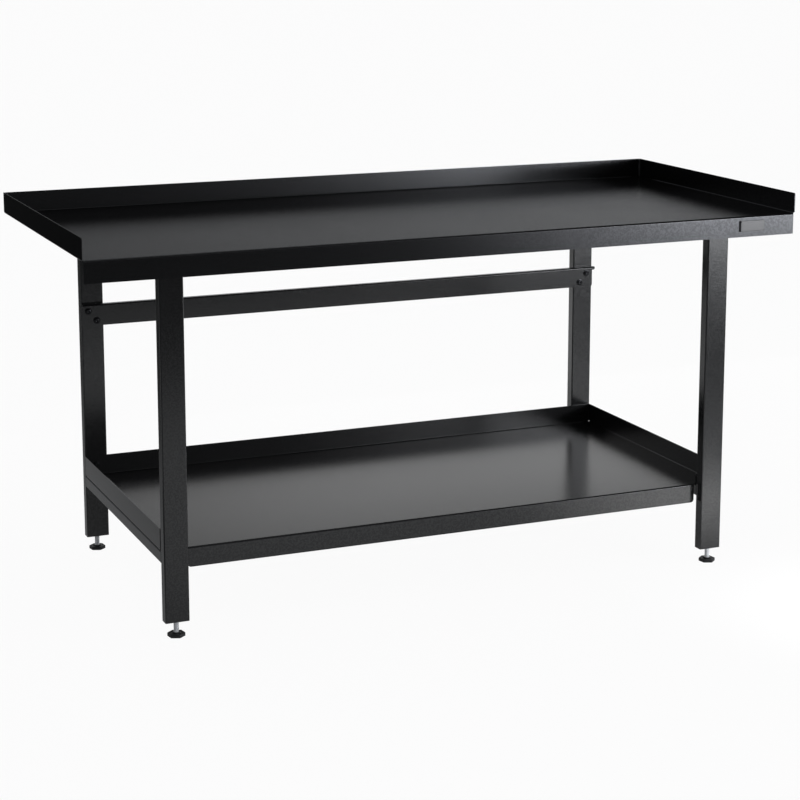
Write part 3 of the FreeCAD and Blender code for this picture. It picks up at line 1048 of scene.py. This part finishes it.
@dataclass
class BlankPlate:
    """The blank plate on the apron, with a dark bar at its left end."""

    workshop: Workshop
    face: BrushedBlack
    bar: MouldedPlastic
    left: float = 0.740
    right: float = 0.812
    low: float = 0.8435
    high: float = 0.8700
    bar_width: float = 0.0048
    thickness: float = 0.0016
    bevel: float = 0.0004
    border: float = 0.0012
    recess: float = 0.0003
    body: str = "bench"

    def build(self) -> None:
        """Makes the plate and its bar on the apron's front face."""
        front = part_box("worktop")[0].y
        split = self.left + self.bar_width
        self._make("blank_plate", (split, self.right), front, self.face)
        self._make("blank_plate_bar", (self.left, split), front, self.bar)

    def _make(self, name: str, span: Span, front: float, finish: Finish) -> None:
        """Makes one rectangular plate with a bevelled edge and a sunk field.

        Args:
            name: The piece's name.
            span: Its left and right edge.
            front: The face that it sits on.
            finish: What it is made of.
        """
        levels = (
            (0.0, 0.0),
            (0.0, self.thickness - self.bevel),
            (self.bevel, self.thickness),
            (self.border, self.thickness),
            (self.border + self.recess, self.thickness - self.recess),
        )
        mesh = bmesh.new()
        rings = (self._corners(span, front, *level) for level in levels)
        skin(mesh, [[mesh.verts.new(corner) for corner in ring] for ring in rings])
        self.workshop.piece(name, mesh, finish, self.body)

    def _corners(self, span: Span, front: float, inset: float, proud: float) -> list[Vector]:
        """The four corners of one level of a plate.

        Args:
            span: The plate's left and right edge.
            front: The face that it sits on.
            inset: How far the level is drawn in.
            proud: How far it stands in front of the face.

        Returns:
            The corners.
        """
        left, right = span[0] + inset, span[1] - inset
        low, high = self.low + inset, self.high - inset
        corners = ((left, low), (right, low), (right, high), (left, high))
        return [Vector((x, front - proud, z)) for x, z in corners]


@dataclass(frozen=True)
class Softbox:
    """One soft lamp whose light fades towards its edges."""

    name: str
    place: Vector
    aim: Vector
    width: float
    height: float
    radiance: float
    fade: Span
    spread: float = math.pi
    colour: Colour = WHITE

    def build(self) -> None:
        """Hangs the lamp."""
        data = bpy.data.lights.new(self.name, "AREA")
        data.shape = "RECTANGLE"
        data.size, data.size_y = self.width, self.height
        data.energy = self.radiance * math.pi * self.width * self.height
        data.spread = self.spread
        data.color = self.colour
        data.use_nodes = True
        self._fade_edges(Graph(data.node_tree))
        lamp = bpy.data.objects.new(self.name, data)
        lamp.location = self.place
        lamp.rotation_euler = (self.aim - self.place).to_track_quat("-Z", "Y").to_euler()
        bpy.context.scene.collection.objects.link(lamp)
        LOG.info("lamp %s hung", self.name)

    def _fade_edges(self, graph: Graph) -> None:
        """Fills the lamp's empty graph: full in the middle and nothing at the edges."""
        spot = graph.node("ShaderNodeNewGeometry", output="Parametric")
        strength = 1.0
        for axis, share in zip("XY", self.fade):
            along = graph.part(spot, axis)
            strength = strength * graph.ramp(along, 0.0, share) * graph.ramp(1 - along, 0.0, share)
        graph.surface(graph.node("ShaderNodeEmission", {}, {"Strength": strength}), "ShaderNodeOutputLight")


@dataclass(frozen=True)
class Paper:
    """A round sheet of pale paper on the studio's floor, with a soft edge."""

    centre: Vector
    whole: float
    gone: float

    def cover(self, graph: Graph, place: Signal) -> Signal:
        """1 where the sheet covers a place on the floor, and 0 beside it."""
        ends = {0: place, 1: self.centre}
        reach = graph.node("ShaderNodeVectorMath", {"operation": "DISTANCE"}, ends, "Value")
        return graph.ramp(reach, self.whole, self.gone, 1.0, 0.0)


@dataclass
class Studio:
    """The pale floor, the soft sky, the lamps and the camera."""

    floor_radius: float = 40.0
    floor_segments: int = 96
    floor_albedo: Colour = (0.80, 0.80, 0.80)
    dark_albedo: Colour = (0.08, 0.08, 0.08)
    floor_clear: float = 0.95
    mirror_white: float = 0.10
    paper: Paper = Paper(Vector((-0.4, -0.2, 0.0)), whole=1.9, gone=3.3)
    # Painted shade: the floor darkens from x = -0.42 m leftwards to x = -1.45 m, under and beside the
    # bench's left end, and this shows in reflections.
    left_shade_span: Span = (-1.45, -0.42)
    sky_colour: Colour = (0.975, 0.995, 1.020)
    sky_level: float = 0.50
    ceiling_level: float = 0.05
    wall_levels: Span = (0.25, 0.98)
    wall_turn: Span = (0.0, 0.70)
    wall_top: Span = (0.14, 0.31)
    front_share: float = 0.35
    front_turn: Span = (-0.2, 0.2)
    zenith_level: float = 0.4
    zenith_rise: Span = (0.80, 0.93)
    loft_level: float = 0.5
    loft_rise: Span = (0.36, 0.44)
    loft_side: Span = (0.25, 0.42)
    loft_back: Span = (0.3, 0.6)
    camera_place: Vector = Vector((-1.9455, -4.5986, 1.6167))
    camera_yaw: float = 22.959
    camera_pitch: float = 10.273
    camera_lens: float = 91.63
    camera_shift: float = -0.15
    sensor: float = 36.0

    OUTER_PAPERS: ClassVar[tuple[Paper, ...]] = (
        Paper(Vector((-3.7, 0.0, 0.0)), whole=1.8, gone=2.2),
        Paper(Vector((3.7, 0.0, 0.0)), whole=1.8, gone=2.2),
        Paper(Vector((0.3, 3.2, 0.0)), whole=1.2, gone=1.6),
    )
    LAMPS: ClassVar[tuple[Softbox, ...]] = (
        Softbox(
            name="key_softbox", place=Vector((3.0, -3.4, 0.87)), aim=Vector((3.0, 0.0, 0.87)),
            width=3.6, height=1.86, radiance=5.9, fade=(0.50, 0.407), colour=KEY_LIGHT),
        Softbox(
            name="band_softbox", place=Vector((3.05, -3.4, 0.95)), aim=Vector((3.05, 0.0, 0.95)),
            width=2.0, height=0.5, radiance=84.0, fade=(0.50, 0.40), colour=KEY_LIGHT),
        Softbox(
            name="wall_softbox", place=Vector((2.7, 1.6, 0.40)), aim=Vector((2.7, 0.0, 0.40)),
            width=8.0, height=1.4, radiance=0.48, fade=(0.25, 0.20)),
        Softbox(
            name="floor_softbox", place=Vector((1.6, -1.8, 1.7)), aim=Vector((0.92, -0.88, 0.0)),
            width=0.25, height=0.25, radiance=20.5, fade=(0.3, 0.3), spread=math.radians(24)),
    )

    def build(self) -> None:
        """Sets up the floor, the sky, the lamps and the camera."""
        self.lay_floor()
        self.light_sky()
        for lamp in self.LAMPS:
            lamp.build()
        self.stand_camera()
        bpy.context.scene.view_settings.view_transform = "Standard"

    def lay_floor(self) -> None:
        """Lays the pale floor, which keeps the shadow and shows a foot that is screwed out below it."""
        mesh = bmesh.new()
        bmesh.ops.create_circle(mesh, cap_ends=True, segments=self.floor_segments, radius=self.floor_radius)
        data = bpy.data.meshes.new("floor")
        mesh.to_mesh(data)
        mesh.free()
        made = bpy.data.materials.new("floor_paper")
        made.use_nodes = True
        self._paint_floor(Graph(made.node_tree))
        data.materials.append(made)
        floor = bpy.data.objects.new("floor", data)
        bpy.context.scene.collection.objects.link(floor)
        LOG.info("floor laid")

    def _paint_floor(self, graph: Graph) -> None:
        """Fills the floor's graph: paper on dark ground where it is mirrored, with a painted shade at the
        bench's left end, faint to the camera.
        """
        camera = graph.ray("Camera")
        place = graph.node("ShaderNodeNewGeometry", output="Position")
        # Painted shade: the paper fades out towards the left, so the floor under and beside the bench's
        # left end is darker where it is mirrored.
        left_shade_mask = graph.ramp(graph.part(place, "X"), *self.left_shade_span)
        paper = camera | self.paper.cover(graph, place) * left_shade_mask
        for outer in self.OUTER_PAPERS:
            paper = paper | outer.cover(graph, place)
        albedo = graph.tint(paper, self.dark_albedo, self.floor_albedo)
        lit = graph.node("ShaderNodeBsdfDiffuse", {}, {"Color": albedo})
        white = graph.node("ShaderNodeEmission", {}, {"Strength": paper})
        mirrored = graph.ray("Glossy", "Transmission") * self.mirror_white
        solid = graph.blend(mirrored, lit, white)
        clear = graph.node("ShaderNodeBsdfTransparent")
        graph.surface(graph.blend(camera * self.floor_clear, solid, clear))

    def light_sky(self) -> None:
        """Lights the sky: white to the camera, even as a light, a studio's walls where it is mirrored."""
        world = bpy.data.worlds.new("studio_sky")
        world.use_nodes = True
        bpy.context.scene.world = world
        graph = Graph(world.node_tree)
        way = graph.node("ShaderNodeTexCoord", output="Generated")
        across, along, up = (graph.part(way, axis) for axis in "XYZ")
        low = graph.ramp(up, *self.wall_top, 1.0, 0.0)
        wall = graph.ramp(across, *self.wall_turn, *self.wall_levels)
        front = graph.ramp(along, *self.front_turn, self.front_share, 1.0)
        loft = graph.ramp(up, *self.loft_rise) * graph.ramp(across, *self.loft_side, 1.0, 0.0)
        loft = loft * graph.ramp(along, *self.loft_back, 0.0, self.loft_level)
        zenith = graph.ramp(up, *self.zenith_rise, self.ceiling_level, self.zenith_level)
        mirror = zenith + low * wall * front + loft
        light = self.sky_level + graph.ray("Glossy", "Transmission") * (mirror - self.sky_level)
        camera = graph.ray("Camera")
        colour = graph.tint(camera, self.sky_colour, WHITE)
        level = camera + (1 - camera) * light
        sky = graph.node("ShaderNodeBackground", {}, {"Color": colour, "Strength": level})
        graph.surface(sky, "ShaderNodeOutputWorld")
        LOG.info("sky lit")

    def stand_camera(self) -> None:
        """Stands the camera where the photograph was taken from."""
        data = bpy.data.cameras.new("camera")
        data.sensor_width = self.sensor
        data.lens = self.camera_lens
        data.shift_y = self.camera_shift
        camera = bpy.data.objects.new("camera", data)
        camera.location = self.camera_place
        tilt = math.radians(90 - self.camera_pitch)
        camera.rotation_euler = (tilt, 0.0, math.radians(-self.camera_yaw))
        bpy.context.scene.collection.objects.link(camera)
        bpy.context.scene.camera = camera
        LOG.info("camera stood")


def leg_middle() -> float:
    """How far the middle of the right legs is from the middle of the bench."""
    low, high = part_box("rear_right_leg")
    return (low.x + high.x) / 2


def crossbar_seats() -> list[Seat]:
    """Where the crossbar's screw heads sit, and the end of the bench that each looks away from."""
    low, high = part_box("crossbar_screws")
    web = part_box("rear_crossbar")[1].y - SHEET
    outer = high.x - FLANGE_RADIUS
    inner = leg_middle() * 2 - outer
    seats = []
    for side in Side:
        seats.append((Vector((outer * side.value, web, high.z - FLANGE_RADIUS)), End.REAR))
        seats.append((Vector((inner * side.value, web, low.z + FLANGE_RADIUS)), End.REAR))
    return seats


def shelf_seats() -> list[Seat]:
    """Where the shelf's screw heads sit, and the end of the bench that each looks away from."""
    low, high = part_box("shelf_screws")
    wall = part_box("shelf")[1].y - SHEET
    middle = leg_middle()
    heights = {End.REAR: high.z - HEAD_RADIUS, End.FRONT: low.z + HEAD_RADIUS}
    seats = []
    for side in Side:
        for end in End:
            seats.append((Vector((middle * side.value, wall * end.value, heights[end])), end))
    return seats


def main() -> None:
    """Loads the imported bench, dresses it and sets up the studio."""
    logging.basicConfig(level=logging.INFO, format="%(message)s")
    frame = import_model()
    workshop = Workshop(frame["nodes"])
    coat = PowderCoat()
    zinc = ZincPlate()
    stud_zinc = ZincPlate(
        name="stud_zinc",
        slot=Slot.FOOT_STUD,
        colour=(0.86, 0.87, 0.88),
        dull_colour=(0.66, 0.67, 0.69),
        metallic=0.45,
        roughness=0.34,
    )
    steel = BlackOxide()
    foot_plastic = MouldedPlastic()
    plug_plastic = MouldedPlastic(name="plug_plastic", slot=Slot.PLUG_PLASTIC, roughness=0.55)
    worktop_coat = PowderCoat(
        name="worktop_coat",
        colour=(0.051, 0.052, 0.054),
        cloud_colour=(0.055, 0.056, 0.058),
        fleck_colour=(0.075, 0.076, 0.079),
        metallic=0.96,
        fleck_metal=0.02,
        low_angle_tint=(0.4, 0.4, 0.4),
        matt_above=(0.882, 0.886),
        matt_roughness=0.04,
    )
    weld_coat = PowderCoat(
        name="weld_coat",
        colour=(0.016, 0.0162, 0.0168),
        cloud_colour=(0.020, 0.0202, 0.0208),
        roughness=0.46,
    )
    Sheetwork(workshop, coat, worktop_coat, weld_coat).build()
    for side in Side:
        EndFrame(workshop, coat, plug_plastic, side).build()
        for end in End:
            LevellingFoot(workshop, stud_zinc, foot_plastic, end, side).build()
    Screws(workshop, steel, "crossbar_screws", flange_radius=FLANGE_RADIUS).build(crossbar_seats())
    Screws(workshop, steel, "shelf_screws").build(shelf_seats())
    for inserts in ("crossbar_inserts", "shelf_inserts"):
        workshop.dress(inserts, zinc)
    Hangers(workshop, zinc).build()
    # A darker, duller strip is laid along the plate's left end.
    dark_bar = MouldedPlastic(name="dark_bar", slot=Slot.POWDER_COAT, ior=1.2, roughness=0.7)
    BlankPlate(workshop, BrushedBlack(), dark_bar).build()
    Studio().build()


if __name__ == "__main__":
    main()
